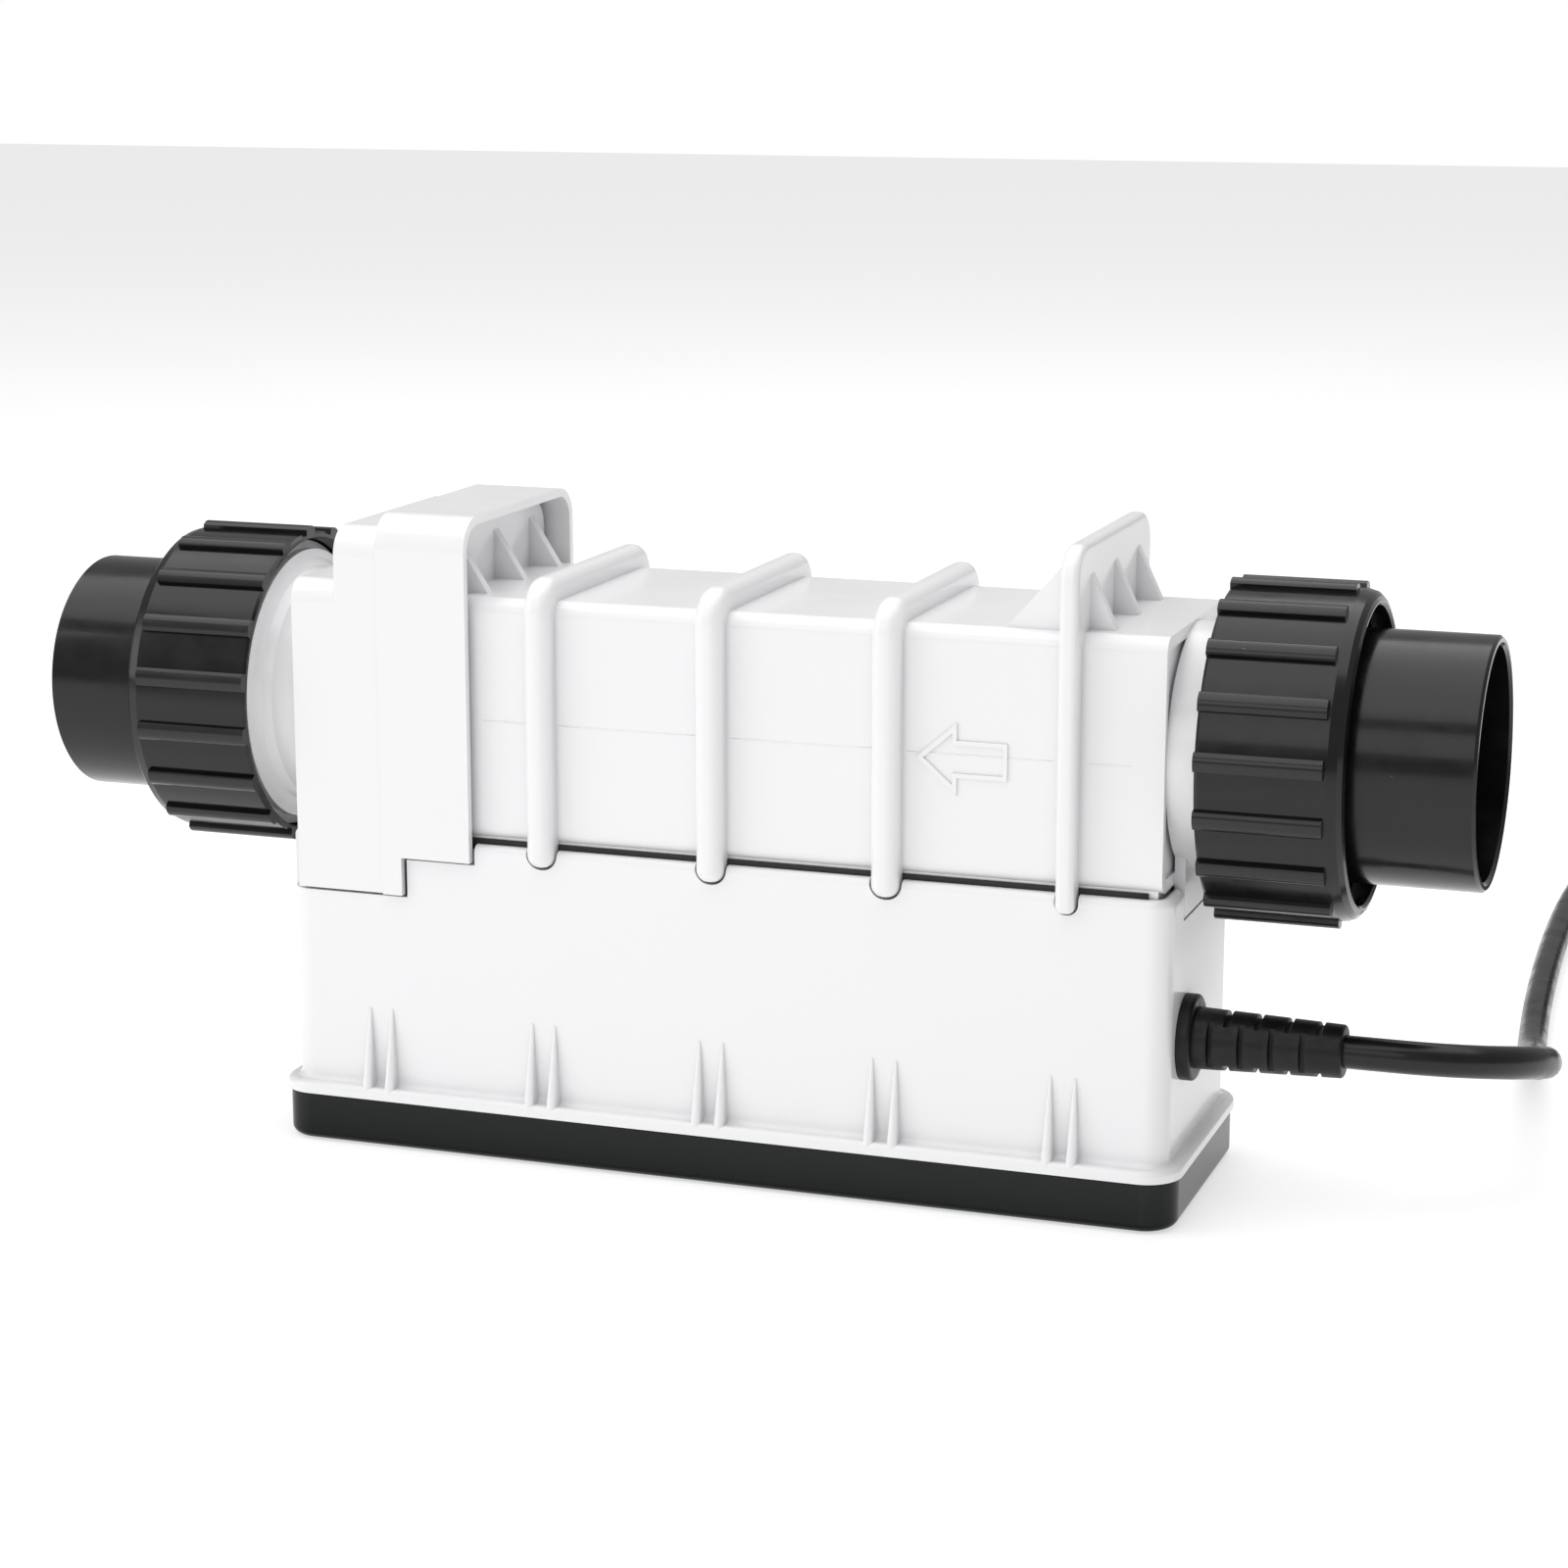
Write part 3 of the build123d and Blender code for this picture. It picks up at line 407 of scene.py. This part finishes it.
def led_amber():
    """Tinted clear lamp body with a frosted inside."""
    made = Finish("lamp_resin", (0.85, 0.42, 0.06), 0.15, Transmission_Weight=0.35, IOR=1.5)
    made.tint(made.ranged(made.noise(500, 3), 0.4, 0.7, 0, 0.6), (0.9, 0.6, 0.2))
    made.gloss(made.noise(700, 3), 0.3, 0.7, 0.1, 0.3)
    made.bump(made.noise(900, 2), 0.00002, 0.5)
    return made.material


finishes = {
    "white_shell": white_shell(),
    "black_union": black_union(),
    "smoked_cover": smoked_cover(),
    "black_nylon": grained(
        "satin_nylon", (0.0035, 0.0035, 0.0037), (0.007, 0.007, 0.007), 0.32, 0.46, 1600, 0.00003
    ),
    "cable_jacket": cable_jacket(),
    "seal_rubber": grained(
        "seal_rubber", (0.012, 0.012, 0.012), (0.022, 0.021, 0.02), 0.6, 0.8, 1100, 0.00005
    ),
    "titanium": brushed(
        "bare_titanium", (0.46, 0.44, 0.41), 0.28, 0.42, (0.05, 1, 1), (0.38, 0.36, 0.35)
    ),
    "coated_titanium": coated_titanium(),
    "stainless": brushed(
        "stainless_steel", (0.6, 0.6, 0.6), 0.2, 0.34, (1, 0.06, 1), (0.5, 0.49, 0.48)
    ),
    "brass_pins": brushed(
        "bright_brass", (0.75, 0.55, 0.24), 0.16, 0.3, (0.06, 1, 1), (0.62, 0.42, 0.16)
    ),
    "board_green": board_green(),
    "component_black": grained(
        "moulded_epoxy", (0.02, 0.02, 0.021), (0.032, 0.032, 0.032), 0.5, 0.68, 1300, 0.00004
    ),
    "sink_aluminium": brushed(
        "extruded_aluminium", (0.68, 0.68, 0.7), 0.25, 0.42, (0.04, 1, 1), (0.58, 0.58, 0.59)
    ),
    "led_amber": led_amber(),
    "button_grey": grained(
        "key_rubber", (0.09, 0.09, 0.095), (0.12, 0.12, 0.125), 0.4, 0.55, 1200, 0.00004
    ),
}

for row in frame["record"]["subparts"]:
    mesh = nodes[row["node"]].data
    mesh.materials.clear()
    mesh.materials.append(finishes[row["material_slot"]])
cord_curve.materials.append(finishes["cable_jacket"])


# ------------------------------------------------------------------ painted seam shade and mould lines

def mesh_piece(name, shape, finish, body):
    """Makes a riding piece from a bmesh, with one finish."""
    mesh = bpy.data.meshes.new(name)
    bmesh.ops.recalc_face_normals(shape, faces=shape.faces)
    shape.to_mesh(mesh)
    shape.free()
    piece = bpy.data.objects.new(name, mesh)
    bpy.context.collection.objects.link(piece)
    mesh.materials.append(finishes[finish])
    for face in mesh.polygons:
        face.use_smooth = True
    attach(piece, body)


def swept(shape, rings):
    """A closed bar through rings of corners, one ring for each step along the bar."""
    rings = [[shape.verts.new(corner) for corner in ring] for ring in rings]
    shape.faces.new(rings[0])
    shape.faces.new(rings[-1])
    for here, ahead in zip(rings, rings[1:]):
        for i in range(len(here)):
            j = (i + 1) % len(here)
            shape.faces.new((here[i], here[j], ahead[j], ahead[i]))


# a dark strip of painted shade in the seam between the flow tube and the control box, on both sides,
# where the gap's shadow falls
housing_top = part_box("electronics_housing")[1].z
shade_strip_half_length = 118 * mm
shade_strip_inner_y = 32.45 * mm
shade_strip_outer_y = 33.1 * mm
shade_strip_crown_y = shade_strip_outer_y + 0.15 * mm
shade_strip_bottom = housing_top - 1.6 * mm
shade_strip_top = housing_top + 1.4 * mm
shade_strip_steps = 24


def shade_strip_ring(x, side):
    """The corners of the shade strip's section at x, with its outer face slightly crowned."""
    corners = [
        (shade_strip_inner_y, shade_strip_bottom),
        (shade_strip_outer_y, shade_strip_bottom),
        (shade_strip_crown_y, (shade_strip_bottom + shade_strip_top) / 2),
        (shade_strip_outer_y, shade_strip_top),
        (shade_strip_inner_y, shade_strip_top),
    ]
    return [Vector((x, side * y, z)) for y, z in corners]


shade_strip_xs = [shade_strip_half_length * (2 * i / shade_strip_steps - 1) for i in range(shade_strip_steps + 1)]
shade_strip_shape = bmesh.new()
for side in (-1, 1):
    swept(shade_strip_shape, [shade_strip_ring(x, side) for x in shade_strip_xs])
# the strip takes the black rubber finish to paint the shadow in the seam's gap
mesh_piece("seam_shade_strip", shade_strip_shape, "seal_rubber", "cell")

# the mould's parting line: a fine raised bead along both sides, between the ribs
bead_z = 121.7 * mm
bead_from = -66 * mm
bead_to = 113 * mm
bead_half = 0.28 * mm
bead_proud = 0.12 * mm
bead_end_proud = 0.01 * mm
bead_root = 0.05 * mm
bead_steps = 8
wall_y = 33.5 * mm
rib_half = 4.6 * mm
rib_xs = [-48.6 * mm, 0, 48.6 * mm, 97.2 * mm]


def bead_ring(x, side, proud):
    """The corners of the bead's section at x: a low triangle on the wall."""
    base = side * (wall_y - bead_root)
    top = side * (wall_y + proud)
    return [
        Vector((x, base, bead_z - bead_half)),
        Vector((x, top, bead_z)),
        Vector((x, base, bead_z + bead_half)),
    ]


rib_faces = [x + face * rib_half for x in rib_xs for face in (-1, 1)]
bead_stops = [bead_from] + rib_faces + [bead_to]
bead_prouds = [bead_proud + bead_end_proud] * (bead_steps + 1)
bead_prouds[0] = bead_prouds[-1] = bead_end_proud
bead_shape = bmesh.new()
for start, stop in zip(bead_stops[::2], bead_stops[1::2]):
    bead_xs = [start + (stop - start) * i / bead_steps for i in range(bead_steps + 1)]
    for side in (-1, 1):
        swept(bead_shape, [bead_ring(x, side, proud) for x, proud in zip(bead_xs, bead_prouds)])
mesh_piece("parting_line", bead_shape, "white_shell", "cell")


# ------------------------------------------------------------------ stage

def plain(name, colour, roughness, glow):
    """A matt, almost even finish with a white glow of its own."""
    made = Finish(name, colour, roughness, Emission_Color=(1, 1, 1, 1), Emission_Strength=glow)
    made.tint(made.ranged(made.noise(3, 2), 0.3, 0.7, 0, 0.2), tuple(0.99 * c for c in colour))
    return made.material


floor_half_width = 6
floor_drop = 0.4 * mm
floor_mesh = bpy.data.meshes.new("floor")
floor_shape = bmesh.new()
bmesh.ops.create_grid(floor_shape, x_segments=2, y_segments=2, size=floor_half_width)
floor_shape.to_mesh(floor_mesh)
floor_shape.free()
floor = bpy.data.objects.new("floor", floor_mesh)
floor.location = (0, 0, -floor_drop)
floor_mesh.materials.append(plain("pale_floor", (0.55, 0.55, 0.55), roughness=0.8, glow=0.6))
bpy.context.collection.objects.link(floor)


def area_light(name, place, target, width, height, power):
    """A rectangular soft light at a place, turned to a target."""
    data = bpy.data.lights.new(name, "AREA")
    data.shape = "RECTANGLE"
    data.size = width
    data.size_y = height
    data.energy = power
    light = bpy.data.objects.new(name, data)
    light.location = place
    light.rotation_mode = "QUATERNION"
    light.rotation_quaternion = (Vector(target) - Vector(place)).to_track_quat("-Z", "Y")
    bpy.context.collection.objects.link(light)


middle = (0, 0, 0.1)
area_light("top_softbox", (-0.1, 0.1, 1.7), middle, 3.0, 2.4, 37)
area_light("left_softbox", (-1.5, -0.9, 0.75), middle, 0.9, 1.2, 7)
area_light("front_softbox", (-0.1, -1.9, 1.0), middle, 1.6, 0.8, 5)

bpy.context.scene.view_settings.view_transform = "Standard"

# the world lights the part softly, and is plain white where the camera sees it
world = bpy.data.worlds.new("studio")
world.use_nodes = True
bpy.context.scene.world = world
sky = world.node_tree
soft_fill = sky.nodes["Background"]
soft_fill.inputs["Color"].default_value = (1, 1, 1, 1)
soft_fill.inputs["Strength"].default_value = 0.38
white_backdrop = sky.nodes.new("ShaderNodeBackground")
white_backdrop.inputs["Color"].default_value = (1, 1, 1, 1)
white_backdrop.inputs["Strength"].default_value = 1.0
seen = sky.nodes.new("ShaderNodeLightPath")
either = sky.nodes.new("ShaderNodeMixShader")
sky.links.new(seen.outputs["Is Camera Ray"], either.inputs["Fac"])
sky.links.new(soft_fill.outputs["Background"], either.inputs[1])
sky.links.new(white_backdrop.outputs["Background"], either.inputs[2])
sky.links.new(either.outputs["Shader"], sky.nodes["World Output"].inputs["Surface"])
